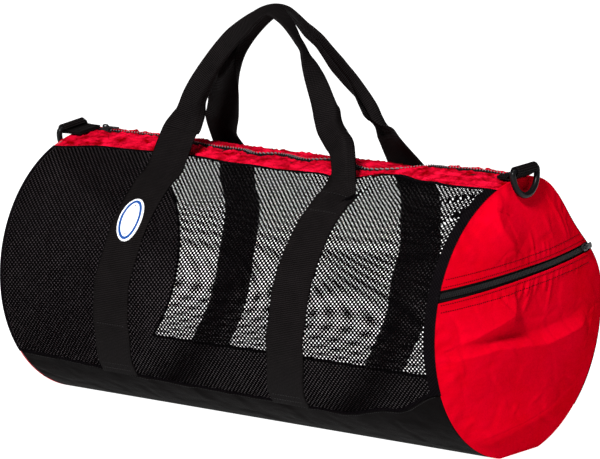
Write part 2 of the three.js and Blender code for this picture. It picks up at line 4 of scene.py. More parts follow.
import bmesh
import bpy
import numpy as np
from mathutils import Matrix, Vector


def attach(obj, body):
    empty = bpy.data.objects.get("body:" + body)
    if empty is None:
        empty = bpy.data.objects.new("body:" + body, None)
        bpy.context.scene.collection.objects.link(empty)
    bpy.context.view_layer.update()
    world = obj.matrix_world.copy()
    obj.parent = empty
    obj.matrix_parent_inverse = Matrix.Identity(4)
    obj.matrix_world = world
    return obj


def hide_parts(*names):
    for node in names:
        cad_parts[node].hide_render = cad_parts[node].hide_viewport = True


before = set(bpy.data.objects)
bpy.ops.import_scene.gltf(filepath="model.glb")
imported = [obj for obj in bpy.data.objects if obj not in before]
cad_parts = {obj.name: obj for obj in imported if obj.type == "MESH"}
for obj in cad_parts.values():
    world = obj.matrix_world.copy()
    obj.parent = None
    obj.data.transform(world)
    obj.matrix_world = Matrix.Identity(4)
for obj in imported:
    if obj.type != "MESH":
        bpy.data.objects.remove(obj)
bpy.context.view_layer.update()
MM = 0.001

# Sizes in millimetres. The solids have the same, apart from small moves of the pocket zip, straps and loops.
# A turn of 0 degrees is the front, 90 the top, 180 the back.
HALF_LENGTH, HALF_WIDTH, HALF_HEIGHT, MIDDLE, END_DOME = 305.0, 160.0, 153.0, 149.0, 16.0
CLOTH, GAP = 1.2, 0.3
PANEL_END = HALF_LENGTH - CLOTH - GAP
ROUND = math.radians(HALF_WIDTH)
TAPE_LIFT = -CLOTH - 2 * GAP
HALF_WEB, WEB_THICK, STRAP_LIFT = 25.0, 1.8, 0.5
MAIN_OPENING, MAIN_CHAIN, MAIN_TAPE = 13.0, 8.0, 15.0
POCKET_OPENING, POCKET_CHAIN, POCKET_TAPE = 14.5, 6.0, 12.0
TAPE_THICK = 1.0
POCKET_TURNS, POCKET_INSET, POCKET_FAR_INSET = (17.7, 154.0), 9.0, 24.0
SLIDER_HALF, POCKET_SLIDER_HALF = 6.5, 5.33
TAB_WIDTH, TAB_TAIL, RING_WIRE, RING_CLEAR = 37.0, 16.0, 3.5, 0.4
MAIN_SLIDER_X = -HALF_LENGTH + TAB_TAIL + SLIDER_HALF + 1

# Hollows of the soft body: x, turn, reach along, reach round, depth
HOLLOWS = (
    (-10, 92, 230, 42, 3),
    (240, 90, 110, 36, -4),
    (168, 62, 55, 26, 11),
    (-70, 58, 60, 24, 5),
    (130, 92, 50, 26, 5),
    (305, 138, 75, 38, 20),
    (0, 180, 290, 62, 26),
)

# Seam lines along the bag: x and the turn there
FRONT_HEM = ((-305, -37), (-60, -42), (150, -43.5), (230, -36), (305, -23))
FRONT_PLACKET = (
    (-305, 66.5), (-232, 71), (-100, 72.8), (-30, 71.6), (15, 70.4), (72, 71), (95, 69.4), (118, 70.5),
    (142, 80), (160, 80), (218, 73), (248, 71.8), (305, 73.2),
)
ZIP_LINE = (
    (-305, 90), (-206, 92), (-115, 86.5), (-72, 87.5), (-46, 84), (-20, 88.5), (26, 84), (54, 89), (112, 82),
    (146, 93), (170, 94), (212, 90), (250, 91), (305, 92),
)
BACK_PLACKET = ((-305, 117), (305, 117))
BACK_HEM = ((-305, 228), (305, 228))

# Straps sewn to the walls: turn and the x there, then turn and how wide it lies, as a share of its webbing
FRONT_LEFT = (
    ((-40, -156), (-13, -142), (0, -138), (22, -129), (42, -125), (60, -126)),
    ((-40, 1.0), (60, 1.0)),
)
FRONT_RIGHT = (
    ((-42.5, 84), (-12, 104), (4, 112), (34, 118.5), (47, 121), (60, 120)),
    ((-42.5, 1.0), (18, 1.0), (33, 0.97), (47, 0.93), (60, 0.83)),
)
BACK_LEFT = (
    ((227, -217), (190, -213), (150, -191), (120, -158)),
    ((227, 1.12), (150, 1.1), (120, 0.96)),
)
BACK_RIGHT = (
    ((227, 41), (193, 57), (159, 74), (134, 87), (120, 98)),
    ((227, 1.06), (120, 1.08)),
)

# Free loops of the handles: x, y, z, twist in degrees, and how far the edges are folded in behind
FRONT_LOOP = (
    (-130, -51, 317, 0, 0), (-128, -45, 331, 0, 0.16), (-122, -38, 359, 0, 0.52), (-110, -30, 384, -2, 0.6),
    (-97, -24, 405, -8, 0.82), (-80, -19, 426, -14, 0.93), (-60, -16.5, 443, -30, 1),
    (-42, -15.5, 456, -54, 1), (-22, -15, 462, -76, 1), (-3, -16, 452, -94, 1), (13, -20, 438, -108, 1),
    (31, -24, 420, -112, 1), (42, -28, 405, -84, 1), (56, -34, 385, -52, 0.84), (69, -41, 364, -28, 0.5),
    (77, -47, 342, -10, 0.48), (97, -54, 318, 2, 0.46),
)
BACK_LOOP = (
    (-150, 56, 312, 0, 0.08), (-139, 48, 336, 0, 0.15), (-126, 36, 372, 10, 0.32), (-105, 25, 410, 24, 0.85),
    (-73, 18, 442, 48, 1), (-42, 16, 460, 64, 1), (-19, 16, 456, 44, 1), (1, 17, 440, 32, 1),
    (19, 19, 427, 26, 1), (36, 27, 403, 11, 1), (52, 32, 385, 14, 0.97), (76, 39, 360, 36, 0.65),
    (84, 43, 347, 46, 0.4), (88, 46, 335, 38, 0.1), (94, 49, 319, 24, 0),
)

# Tabs and D-rings at the two ends: name, side, turn, and the ring's bar, out from the rim and up
ENDS = (("left", -1, 83.5, 11, 5), ("right", 1, 88, 7, 11))


# The body's shape
def bell(share):
    return np.where(np.abs(share) < 1, 0.5 + 0.5 * np.cos(np.pi * np.clip(share, -1, 1)), 0)


def smooth(low, high, value):
    share = np.clip((value - low) / (high - low), 0, 1)
    return share * share * (3 - 2 * share)


def unit(vectors):
    return vectors / np.linalg.norm(vectors, axis=-1, keepdims=True)


def lengths_along(points):
    """How far along a line each of its points is."""
    steps = np.linalg.norm(np.diff(points, axis=0), axis=1)
    return np.concatenate([[0], np.cumsum(steps)])


def cubic(start, stop, leave, arrive, share):
    """A point on a curve with these directions at its two ends."""
    curved = -3 * start + 3 * stop - 2 * leave - arrive
    last = 2 * start - 2 * stop + leave + arrive
    return start + leave * share + curved * share**2 + last * share**3


def eased(rows, place):
    """The value at a place in a table of (place, value) rows, eased from row to row."""
    keys, values = np.array(sorted(rows), float).T
    place = np.clip(place, keys[0], keys[-1])
    row = np.clip(np.searchsorted(keys, place, side="right") - 1, 0, len(keys) - 2)
    share = smooth(keys[row], keys[row + 1], place)
    return values[row] + (values[row + 1] - values[row]) * share


def skin(x, turn, lift=0.0):
    """Points on the body, `lift` off the outer face of its cloth."""
    x, turn, lift = np.broadcast_arrays(*(np.asarray(value, float) for value in (x, turn, lift)))
    sunk = np.zeros_like(x)
    for at_x, at_turn, reach_x, reach_turn, depth in HOLLOWS:
        away = (turn - at_turn + 540) % 360 - 180
        sunk = sunk + depth * bell((x - at_x) / reach_x) * bell(away / reach_turn)
    angle = np.radians(turn)
    y = -(HALF_WIDTH + lift - sunk) * np.cos(angle)
    z = MIDDLE + (HALF_HEIGHT + lift - sunk) * np.sin(angle)
    return np.stack([x, y, np.maximum(z, -lift)], -1)


def outward(x, turn):
    step = 0.5
    along = skin(x + step, turn) - skin(x - step, turn)
    round_it = skin(x, turn + step) - skin(x, turn - step)
    return unit(np.cross(along, round_it))


def end_reach(side, y, z):
    """How far out a point of an end is, as a share of the way from its middle to its rim."""
    turn = np.degrees(np.arctan2((z - MIDDLE) / HALF_HEIGHT, -y / HALF_WIDTH))
    edge = skin(side * HALF_LENGTH, turn)
    return np.minimum(1, np.hypot(y, z - MIDDLE) / np.hypot(edge[..., 1], edge[..., 2] - MIDDLE))


def end_point(side, y, z, lift):
    reach = end_reach(side, y, z)
    out = END_DOME * (1 - reach**3) + lift
    return np.stack([side * (HALF_LENGTH + out), y, z], -1)


def rim(side, turn):
    return skin(side * HALF_LENGTH, turn)[..., 1:]


POCKET_FRONT, POCKET_BACK = (rim(1, turn) for turn in POCKET_TURNS)


def pocket_z(y):
    share = (y - POCKET_FRONT[0]) / (POCKET_BACK[0] - POCKET_FRONT[0])
    return POCKET_FRONT[1] + (POCKET_BACK[1] - POCKET_FRONT[1]) * share


# Folds and creases
def beside(line, y, z):
    """Signed distance of points from a line of stops, positive on its left, and how far along it they are."""
    stops = np.array(line, float)
    best = np.full(y.shape, np.inf)
    along = np.zeros(y.shape)
    for i, (start, stop) in enumerate(zip(stops[:-1], stops[1:])):
        run = stop - start
        away = np.stack([y, z], -1) - start
        share = np.clip(away @ run / (run @ run), 0, 1)
        off = away - share[..., None] * run
        distance = np.linalg.norm(off, axis=-1) * np.sign(run[0] * off[..., 1] - run[1] * off[..., 0])
        nearer = np.abs(distance) < np.abs(best)
        best = np.where(nearer, distance, best)
        along = np.where(nearer, (i + share) / (len(stops) - 1), along)
    return best, along


def ridge(line, left, right, rise, y, z):
    """A fold that comes to an edge along a line, with a flank of its own width on each side."""
    distance, along = beside(line, y, z)
    flank = np.where(distance > 0, left, right)
    height = np.clip(1 - np.abs(distance) / flank, 0, 1) ** 1.6
    return rise * height * np.clip(np.sin(np.pi * np.clip(along, 0.02, 0.98)), 0, 1) ** 0.6


def crumple(u, v, size, seed):
    """Cloth creased into facets about `size` across, each tilted its own way, from about -1 to 1."""
    table = np.random.default_rng(seed).uniform(-1, 1, (64, 64, 4))
    cell_u, cell_v = np.floor(u / size).astype(int), np.floor(v / size).astype(int)
    near = np.full(u.shape, np.inf)
    second = np.full(u.shape, np.inf)
    tilt = np.zeros(u.shape)
    for step_u in (-1, 0, 1):
        for step_v in (-1, 0, 1):
            own = table[(cell_u + step_u) % 64, (cell_v + step_v) % 64]
            off_u = u / size - (cell_u + step_u + 0.5 + 0.4 * own[..., 0])
            off_v = v / size - (cell_v + step_v + 0.5 + 0.4 * own[..., 1])
            distance = np.hypot(off_u, off_v)
            closer = distance < near
            second = np.where(closer, near, np.minimum(second, distance))
            near = np.where(closer, distance, near)
            tilt = np.where(closer, off_u * own[..., 2] + off_v * own[..., 3], tilt)
    return tilt * 1.6 * smooth(0, 0.35, second - near) - 0.5 * (1 - smooth(0, 0.3, second - near))


# Folds of the right end: stops of the edge in y and z, width of its left and right flanks, rise
END_FOLDS = (
    (((-44, 296), (-62, 276), (-59, 256), (-42, 238), (-34, 224)), 44, 50, 10.0),
    (((48, 272), (64, 250), (79, 226)), 9, 7, 2.6),
    (((70, 262), (86, 224)), 7, 6, 2.2),
    (((28, 262), (46, 230)), 12, 8, 1.2),
    (((-110, 242), (-61, 223)), 9, 7, 1.0),
    (((-146, 124), (-74, 130), (11, 122), (84, 128), (112, 136)), 15, 75, 12.5),
    (((-128, 141), (-75, 154), (-45, 162), (-36, 184)), 50, 18, 11.0),
    (((-110, 24), (-43, 35), (14, 43), (66, 54)), 46, 12, 8.0),
    (((127, 134), (107, 104)), 8, 8, 2.2),
    (((-160, 128), (-140, 127)), 5, 4, 1.6),
    (((-157, 121), (-138, 116)), 5, 4, 1.8),
    (((-154, 98), (-126, 110)), 16, 12, 2.0),
    (((-148, 88), (-128, 54)), 10, 16, 1.8),
    (((-4, 57), (18, 66)), 5, 6, 1.0),
    (((-36, 50), (-26, 62)), 5, 6, 1.0),
    (((-108, 46), (-94, 56)), 5, 6, 1.0),
)


# Gathers at the pocket zip: down or up from it, how far they lean for their length, the longest, rise
GATHERS = ((-1, -0.5, 44, 2.8), (1, -0.15, 24, 1.7))
GATHERS_FROM, GATHERS_COUNT, GATHERS_OFF_ZIP = -112, 22, 9


def gathers(y, z):
    """Short puckers where the pocket zip is sewn in."""
    draw = np.random.default_rng(5)
    height = np.zeros_like(y)
    for way, slope, longest, rise in GATHERS:
        for start in np.cumsum(draw.uniform(5, 15, GATHERS_COUNT)) + GATHERS_FROM:
            near = 0.25 + 0.75 * bell((start - 2) / 88)
            long = 10 + draw.uniform(0.1, 1.0) ** 2 * longest * near
            foot = pocket_z(start) + way * GATHERS_OFF_ZIP
            line = ((start, foot), (start + slope * long * draw.uniform(0.3, 1.3), foot + way * long))
            left, right = draw.uniform(4, 7), draw.uniform(2.5, 4)
            own_rise = draw.uniform(0.35, 1) * rise * near
            height = height + ridge(line, left, right, own_rise, y, z)
    return height


def rim_puckers(side, y, z):
    """Small waves just inside the rim's seam."""
    turn = np.arctan2(z - MIDDLE, -y)
    wave = np.sin(46 * turn + 2.2 * np.sin(5 * turn + side)) * (0.55 + 0.45 * np.sin(9 * turn + 1.3 * side))
    reach = end_reach(side, y, z)
    return 0.6 * wave * smooth(0.86, 0.96, reach) * (1 - smooth(0.97, 1.0, reach))


def end_lift(side, y, z):
    """The folds of an end. The large ones fade out at its rim and at the pocket zip."""
    height = rim_puckers(side, y, z)
    if side < 0:
        return height + 1.1 * crumple(y, z, 46, 8)
    off_zip = smooth(4, 26, np.abs(z - pocket_z(y))) * (1 - smooth(0.88, 1.0, end_reach(side, y, z)))
    for line, left, right, rise in END_FOLDS:
        height = height + ridge(line, left, right, rise, y, z) * off_zip
    return height + gathers(y, z) + 0.8 * crumple(y + 0.4 * z, z, 38, 3) * off_zip


# Materials
class Wire:
    """A value in a material, whose sums add their own Math nodes."""

    def __init__(self, finish, socket):
        self.finish = finish
        self.socket = socket

    def maths(self, operation, first, second):
        return self.finish.node("ShaderNodeMath", {"operation": operation}, {0: first, 1: second})

    def __add__(self, other):
        return self.maths("ADD", self, other)

    __radd__ = __add__

    def __sub__(self, other):
        return self.maths("SUBTRACT", self, other)

    def __rsub__(self, other):
        return self.maths("SUBTRACT", other, self)

    def __mul__(self, other):
        return self.maths("MULTIPLY", self, other)

    __rmul__ = __mul__


class Finish:
    """One material and its nodes."""

    def __init__(self, name, shine, metal=0.0):
        self.material = bpy.data.materials.new(name)
        self.material.use_nodes = True
        self.tree = self.material.node_tree
        self.shader = self.tree.nodes["Principled BSDF"]
        self.set("Specular IOR Level", shine)
        self.set("Metallic", metal)

    def node(self, kind, settings=None, sockets=None, output=0):
        made = self.tree.nodes.new(kind)
        for key, value in (settings or {}).items():
            setattr(made, key, value)
        for key, value in (sockets or {}).items():
            self.feed(made.inputs[key], value)
        return Wire(self, made.outputs[output])

    def feed(self, socket, value):
        if isinstance(value, Wire):
            self.tree.links.new(value.socket, socket)
        else:
            socket.default_value = value

    def set(self, name, value):
        self.feed(self.shader.inputs[name], value)

    def place(self):
        return self.node("ShaderNodeTexCoord", output=3)

    def cloth(self):
        """The piece's own map: metres along it and across it."""
        return self.node("ShaderNodeUVMap", {"uv_map": "Cloth"})

    def noise(self, where, scale, detail=3.0, roughness=0.5):
        sockets = {"Vector": where, "Scale": scale, "Detail": detail, "Roughness": roughness}
        return self.node("ShaderNodeTexNoise", sockets=sockets)

    def stretched(self, where, scale):
        return self.node("ShaderNodeMapping", sockets={"Vector": where, "Scale": scale})

    def axis(self, where, index):
        return self.node("ShaderNodeSeparateXYZ", sockets={"Vector": where}, output=index)

    def wave(self, value, pitch):
        """A ripple from 0 to 1 that repeats every `pitch` metres."""
        turns = value * (2 * math.pi / pitch)
        return 0.5 + 0.5 * self.node("ShaderNodeMath", {"operation": "SINE"}, {0: turns})

    def tones(self, factor, dark, light):
        sockets = {0: factor, 6: (*dark, 1), 7: (*light, 1)}
        self.set("Base Color", self.node("ShaderNodeMix", {"data_type": "RGBA"}, sockets, output=2))

    def done(self, rough, height, distance, strength):
        """Sets roughness and bump, and gives the material."""
        self.set("Roughness", rough)
        sockets = {"Height": height, "Distance": distance, "Strength": strength}
        self.set("Normal", self.node("ShaderNodeBump", sockets=sockets))
        return self.material


def nylon(name, dark, light, rough, crease_shade=0.3, shine=0.0):
    """Coated plain-weave nylon: fine threads, small creases, and how much the creases show in its tone, as
    painted shade in their hollows and painted highlight on their tops.
    """
    finish = Finish(name, shine)
    where, cloth = finish.place(), finish.cloth()
    broad = finish.noise(where, 14.0)
    creases = finish.noise(finish.stretched(where, (1.0, 1.0, 2.2)), 55.0, 4.0, 0.6)
    threads = finish.wave(finish.axis(cloth, 0), 0.0009) + finish.wave(finish.axis(cloth, 1), 0.0009)
    # The tone follows the creases' bump height: painted shade in their hollows, painted highlight on their
    # tops
    finish.tones(broad * (1 - crease_shade) + (3.2 * creases - 1.2) * crease_shade, dark, light)
    return finish.done(rough + 0.22 * creases, creases + threads * 0.04, 0.0016, 0.5)


def webbing_finish(name, dark, light, inside=False):
    """Webbing with a rib across it every two millimetres, its tone lighter on the rib tops and darker between
    them: painted highlight and shade. Its inside is paler where it lies on the body: painted light, seen
    through the net's holes.
    """
    finish = Finish(name, 0.015)
    cloth = finish.cloth()
    rib = finish.wave(finish.axis(cloth, 0), 0.0021)
    line = finish.wave(finish.axis(cloth, 1), 0.0034)
    wear = finish.noise(finish.place(), 60.0)
    # Painted highlight on the rib tops and painted shade between them, mixed with random wear
    lit_ribs_and_wear = rib * 0.6 + wear * 0.4
    if inside:
        # Painted light: 1 below a height of 0.25 m and 0 from 0.265 m, where the loops begin
        fade = finish.axis(finish.place(), 2) * -66.0 + 17.5
        painted_light_on_body = finish.node("ShaderNodeClamp", sockets={"Value": fade})
        lit_ribs_and_wear = lit_ribs_and_wear * (0.02 + 0.98 * painted_light_on_body)
    finish.tones(lit_ribs_and_wear, dark, light)
    return finish.done(0.5 + 0.25 * wear, rib + line * 0.35, 0.0009, 1.0)


def net_finish(name, dark, light, dots):
    """Knitted black yarn. With dots, the doubled net of a hem, whose holes are closed from behind."""
    finish = Finish(name, 0.0)
    cloth = finish.cloth()
    wear = finish.noise(finish.place(), 120.0)
    along, round_it = finish.axis(cloth, 0), finish.axis(cloth, 1)
    pitch = 0.0041 if dots else 0.0007
    knit = finish.wave(along + round_it, pitch) * finish.wave(along - round_it, pitch)
    finish.tones(knit * 0.6 + wear * 0.4, dark, light)
    return finish.done(0.45 + 0.2 * wear, knit, 0.0006 if dots else 0.0002, 0.8)


def tape_finish():
    finish = Finish("zip_tape", 0.01)
    cloth = finish.cloth()
    along, across = finish.axis(cloth, 0), finish.axis(cloth, 1)
    twill = finish.wave(along + across, 0.0012)
    edge = finish.wave(across, 0.0038)
    finish.tones(twill * 0.5 + edge * 0.5, (0.0015, 0.0015, 0.0017), (0.008, 0.0075, 0.008))
    return finish.done(0.55 + 0.15 * twill, twill * 0.4 + edge, 0.0005, 0.8)


def hard_finish(name, dark, light, rough, shine=0.1, metal=0.0):
    """Moulded plastic or plated metal with faint marks of handling."""
    finish = Finish(name, shine, metal)
    marks = finish.noise(finish.stretched(finish.place(), (1.0, 3.0, 1.0)), 240.0, 5.0, 0.65)
    broad = finish.noise(finish.place(), 45.0)
    finish.tones(broad, dark, light)
    return finish.done(rough + 0.16 * marks, marks, 0.00008, 0.5)


def patch_finish(name, dark, light):
    finish = Finish(name, 0.02)
    cloth = finish.cloth()
    weave = finish.wave(finish.axis(cloth, 0), 0.0008) * finish.wave(finish.axis(cloth, 1), 0.0008)
    soil = finish.noise(finish.place(), 90.0)
    finish.tones(weave * 0.4 + soil * 0.6, dark, light)
    return finish.done(0.55 + 0.15 * soil, weave, 0.0002, 0.7)


def floor_finish():
    """The white ground, which glows so that it stays white."""
    finish = Finish("pale_floor", 0.1)
    grain = finish.noise(finish.place(), 3.0)
    finish.tones(grain, (0.34, 0.34, 0.345), (0.38, 0.38, 0.38))
    finish.set("Emission Color", (1.0, 1.0, 1.0, 1))
    finish.set("Emission Strength", 1.08)
    finish.set("Roughness", 0.85 + 0.1 * grain)
    return finish.material


# Every nylon's tone holds some painted crease shade and highlight. The plackets' red is mostly painted shade
# and highlight from its creases.
RED = nylon("red_nylon", (0.38, 0.0, 0.0018), (0.54, 0.0002, 0.014), 0.42, 0.15)
RED_CREASE_SHADED = nylon("red_nylon_crease_shaded", (0.13, 0.0, 0.0004), (0.66, 0.004, 0.03), 0.4, 0.9)
BLACK_INSIDE = nylon("black_nylon_inside", (0.09, 0.08, 0.085), (0.15, 0.135, 0.14), 0.6)
RED_INSIDE = nylon("red_nylon_inside", (0.15, 0.13, 0.14), (0.22, 0.19, 0.2), 0.6)
BLACK = nylon("black_nylon", (0.0008, 0.0006, 0.0006), (0.0036, 0.0029, 0.0029), 0.5, shine=0.008)
WEBBING = webbing_finish("webbing", (0.0003, 0.0002, 0.0002), (0.009, 0.0074, 0.0076))
# The handles' black webbing with its inner face painted pale where it lies on the body: painted light seen
# through the net
WEBBING_PAINTED_LIGHT_INSIDE = webbing_finish("webbing_inside_painted_light", (0.0003, 0.0002, 0.0002), (0.5, 0.47, 0.48), True)
NET = net_finish("black_net", (0.0005, 0.0004, 0.0005), (0.003, 0.0026, 0.0029), False)
NET_HEM = net_finish("net_hem", (0.0006, 0.0005, 0.0006), (0.006, 0.0048, 0.0058), True)
TAPE = tape_finish()
# Black teeth given a pale grey tone: painted highlight
TEETH_PAINTED_HIGHLIGHT = hard_finish("zip_teeth", (0.05, 0.048, 0.05), (0.22, 0.215, 0.22), 0.3)
DARK_TEETH = hard_finish("pocket_teeth", (0.003, 0.003, 0.0032), (0.010, 0.0098, 0.0104), 0.2)
METAL = hard_finish("zip_metal", (0.012, 0.012, 0.013), (0.03, 0.03, 0.033), 0.25, 0.5, 0.6)
RING = hard_finish("ring_plastic", (0.002, 0.002, 0.0022), (0.005, 0.005, 0.0055), 0.26, 0.08)
PATCH = patch_finish("label_cloth", (0.78, 0.79, 0.81), (0.9, 0.9, 0.91))
PATCH_LINE = patch_finish("label_line", (0.008, 0.04, 0.17), (0.016, 0.065, 0.23))
RED_THREAD = patch_finish("red_thread", (0.12, 0.0, 0.002), (0.22, 0.0, 0.006))
DARK_THREAD = patch_finish("dark_thread", (0.008, 0.0, 0.001), (0.022, 0.001, 0.002))
BLACK_THREAD = patch_finish("black_thread", (0.012, 0.012, 0.012), (0.035, 0.033, 0.034))


# Making pieces
def placed(name, data):
    made = bpy.data.objects.new(name, data)
    bpy.context.scene.collection.objects.link(made)
    return made


def mesh_of(name, maker):
    mesh = bpy.data.meshes.new(name)
    maker.to_mesh(mesh)
    maker.free()
    return mesh


def finished(name, mesh, finishes, nodes=(), smooth_faces=True, body="bag"):
    """A visible piece, with its materials, slot, nodes and body."""
    for finish in finishes:
        mesh.materials.append(finish)
    if smooth_faces:
        mesh.shade_smooth()
    piece = placed(name, mesh)
    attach(piece, body)
    if nodes:
        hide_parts(*nodes)
    return piece


def map_cloth(mesh, cloth):
    """Gives each corner the place of its vertex on the flat cloth, in millimetres."""
    corner = np.empty(len(mesh.loops), np.int32)
    mesh.loops.foreach_get("vertex_index", corner)
    layer = mesh.uv_layers.new(name="Cloth")
    layer.uv.foreach_set("vector", (cloth * MM)[corner].astype(np.float32).ravel())


def bend(mesh, points, cloth):
    mesh.vertices.foreach_set("co", (points * MM).astype(np.float32).ravel())
    map_cloth(mesh, cloth)
    mesh.update()


def sheet_mesh(name, columns, rows, shape):
    """A grid of cloth: `shape` gives points and flat places, in millimetres, for shares along and across."""
    maker = bmesh.new()
    bmesh.ops.create_grid(maker, x_segments=columns, y_segments=rows, size=0.5)
    mesh = mesh_of(name, maker)
    flat = np.empty(len(mesh.vertices) * 3, np.float32)
    mesh.vertices.foreach_get("co", flat)
    along, across = flat.reshape(-1, 3)[:, :2].T.astype(float) + 0.5
    bend(mesh, *shape(along, across))
    return mesh


def thicken(piece, thick, offset=-1.0, inner_slot=0, edge_slot=0):
    """Gives a sheet its wall, whose inner face and edges may have other materials."""
    wall = piece.modifiers.new("wall", "SOLIDIFY")
    wall.thickness = thick * MM
    wall.offset = offset
    wall.material_offset = inner_slot
    wall.material_offset_rim = edge_slot
    return piece


def repeated(name, template, places, axes, finish, nodes=(), smooth_faces=True):
    """One mesh of a small shape set at many places, each with its own x, y and z directions."""
    points, faces = template
    spread = places[:, None, :] + np.einsum("ki,nij->nkj", points, axes)
    count = len(points)
    joined = [tuple(i + n * count for i in face) for n in range(len(places)) for face in faces]
    mesh = bpy.data.meshes.new(name)
    mesh.from_pydata((spread.reshape(-1, 3) * MM).tolist(), [], joined)
    map_cloth(mesh, np.tile(points[:, :2], (len(places), 1)))
    return finished(name, mesh, [finish], nodes, smooth_faces)


def template_of(maker):
    maker.verts.index_update()
    points = np.array([v.co[:] for v in maker.verts])
    faces = [tuple(v.index for v in face.verts) for face in maker.faces]
    maker.free()
    return points, faces


def block_template(length, width, height, edge):
    maker = bmesh.new()
    bmesh.ops.create_cube(maker, size=1.0)
    bmesh.ops.scale(maker, vec=(length, width, height), verts=maker.verts)
    bmesh.ops.bevel(
        maker, geom=maker.edges[:], offset=edge, segments=1, profile=0.5, affect="EDGES", material=-1
    )
    return template_of(maker)


def stitch_template(length, width):
    maker = bmesh.new()
    bmesh.ops.create_icosphere(maker, subdivisions=1, radius=0.5)
    bmesh.ops.scale(maker, vec=(length, width, width), verts=maker.verts)
    return template_of(maker)


def frames_along(points, normals):
    """X along a line of points, Z near the normals given, and Y across."""
    along = unit(np.gradient(points, axis=0))
    across = unit(np.cross(normals, along))
    return np.stack([along, across, np.cross(along, across)], 1)


def stitched(name, lines, thread, pitch=3.6, length=2.7, width=0.55):
    """Rows of stitches along lines, each a set of points with the normals there."""
    places, axes = [], []
    for points, normals in lines:
        run = lengths_along(points)
        at = np.arange(pitch, run[-1] - pitch / 2, pitch)
        spaced = np.stack([np.interp(at, run, points[:, k]) for k in range(3)], 1)
        facing = np.stack([np.interp(at, run, normals[:, k]) for k in range(3)], 1)
        places.append(spaced)
        axes.append(frames_along(spaced, unit(facing)))
    stitch = stitch_template(length, width)
    return repeated(name, stitch, np.concatenate(places), np.concatenate(axes), thread)


# Walls of the tube
def seam(rows, shift=0.0):
    """A seam line as a function of x, moved `shift` millimetres round the body."""
    return lambda x: eased(rows, x) + shift / ROUND


def tube_sheet(name, low, high, columns, rows, lift, ends=(-PANEL_END, PANEL_END)):
    def shape(along, across):
        x = ends[0] + (ends[1] - ends[0]) * along
        turn = low(x) + (high(x) - low(x)) * across
        return skin(x, turn, lift(x, turn)), np.stack([x, turn * ROUND], 1)

    return sheet_mesh(name, columns, rows, shape)


def placket_lift(x, turn):
    s = turn * ROUND
    fine = crumple(x + 0.7 * s, 1.5 * s - 0.3 * x, 12, 21)
    broad = crumple(x - 0.5 * s, 1.2 * s, 30, 22)
    return 1.9 * fine + 1.3 * broad - 0.4


def bottom_lift(x, turn):
    lying = smooth(16, 34, np.abs(turn + 90))
    s = turn * ROUND
    return lying * (1.0 * crumple(x + 0.5 * s, s - 0.2 * x, 52, 31) + 0.4 * crumple(x, s, 20, 32) - 0.5)


# Folds of the net: stops in x and turn, flank widths and rise
NET_FOLDS = (
    (((244, 57.5), (273, 62.5), (299, 67)), 7, 2.0, 6.5),
    (((256, 41), (283, 50.6), (301, 61.5)), 7, 2.0, 7.0),
    (((128, 50), (140, 58), (146, 70)), 6, 2.2, 4.5),
)


def net_lift(x, turn):
    lift = 0.5 * np.sin(x / 37 + np.sin(turn / 9)) * np.sin(turn / 13 + x / 160)
    for line, left, right, rise in NET_FOLDS:
        stops = [(at_x, at_turn * ROUND) for at_x, at_turn in line]
        lift = lift + ridge(stops, left, right, rise, x, turn * ROUND)
    return lift * smooth(0, 12, HALF_LENGTH - np.abs(x))


def back_net_lift(x, turn):
    return 0.5 * np.sin(x / 41 + turn / 11)


# The nets: pitch of the holes along and of their rows, depth of the yarn in the wall, then for each net the
# slant of its rows and a hole's size from its middle to a corner
HOLE_PITCH, HOLE_ROW, NET_DEPTH = 5.13, 2.67, 0.4
FRONT_HOLES, BACK_HOLES = (0.107, 1.03), (0.0, 1.88)


def net_piece(name, low, high, node, lift, slant, hole_size):
    """A diagonal grid of cells, each with four strands of yarn round a six-sided hole."""
    half = HOLE_PITCH / 2
    columns = np.arange(-int(PANEL_END / half), int(PANEL_END / half) + 1)
    middle = (low(0.0) + high(0.0)) / 2
    lines = np.arange(-90, 91)
    column, line = (grid.ravel() for grid in np.meshgrid(columns, lines, indexing="ij"))
    x = column * half
    turn = middle + (line * HOLE_ROW + slant * x) / ROUND
    keep = (column + line) % 2 == 0
    keep &= (turn * ROUND > low(x) * ROUND + HOLE_ROW) & (turn * ROUND < high(x) * ROUND - HOLE_ROW)
    keep &= np.abs(x) < PANEL_END - half
    column, line = column[keep], line[keep]
    steps = ((1, 0), (0, 1), (-1, 0), (0, -1))
    knots = np.concatenate([np.stack([column + along, line + up], 1) for along, up in steps])
    knots, knot_of = np.unique(knots, axis=0, return_inverse=True)
    right, top, left, bottom = knot_of.reshape(4, -1)
    angle = np.radians(np.arange(0, 360, 60))
    hole_x = column[:, None] * half + hole_size * np.cos(angle)
    hole_s = line[:, None] * HOLE_ROW + hole_size * np.sin(angle)
    flat_x = np.concatenate([knots[:, 0] * half, hole_x.ravel()])
    flat_s = np.concatenate([knots[:, 1] * HOLE_ROW, hole_s.ravel()])
    turns = middle + (flat_s + slant * flat_x) / ROUND
    points = skin(flat_x, turns, lift(flat_x, turns) - NET_DEPTH)
    hole = len(knots) + np.arange(len(column))[:, None] * 6 + np.arange(6)
    quads = [
        (right, top, hole[:, 1], hole[:, 0]), (top, left, hole[:, 3], hole[:, 2]),
        (left, bottom, hole[:, 4], hole[:, 3]), (bottom, right, hole[:, 0], hole[:, 5]),
    ]
    corners = [(top, hole[:, 2], hole[:, 1]), (bottom, hole[:, 5], hole[:, 4])]
    faces = [face for group in quads + corners for face in np.stack(group, 1).tolist()]
    mesh = bpy.data.meshes.new(name)
    mesh.from_pydata((points * MM).tolist(), [], faces)
    map_cloth(mesh, np.stack([flat_x, turns * ROUND], 1))
    return finished(name, mesh, [NET], [node])


